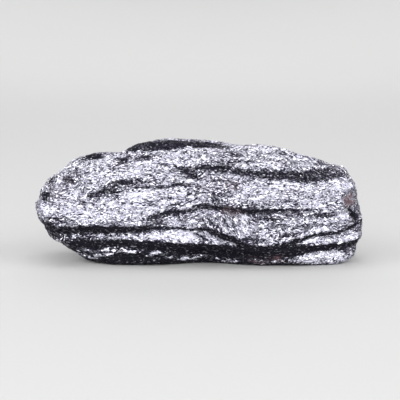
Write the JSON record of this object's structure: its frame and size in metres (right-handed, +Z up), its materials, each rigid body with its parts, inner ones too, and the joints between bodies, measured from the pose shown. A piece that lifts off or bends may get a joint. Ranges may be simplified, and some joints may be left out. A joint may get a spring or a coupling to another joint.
{
  "type": "specular hematite specimen",
  "caption": "Long flaky iron ore stone with overhanging lens-shaped ledges, glittering steel grey, resting on a flat underside.",
  "frame": {"origin": "centre of the stone's bounding box in plan, on the plane that its underside rests on", "axes": "+X along the stone's length, +Y from its broad bright face towards its back, +Z up"},
  "size_m": [0.1106, 0.0394, 0.041],
  "materials": {
    "specular_ore": "foliated, micaceous metallic flakes, steel grey with bright glitter, duller and darker on the ledge walls, with a few red-brown stains"
  },
  "bodies": {
    "root": {"hematite_stone": "specular_ore"}
  },
  "joints": []
}
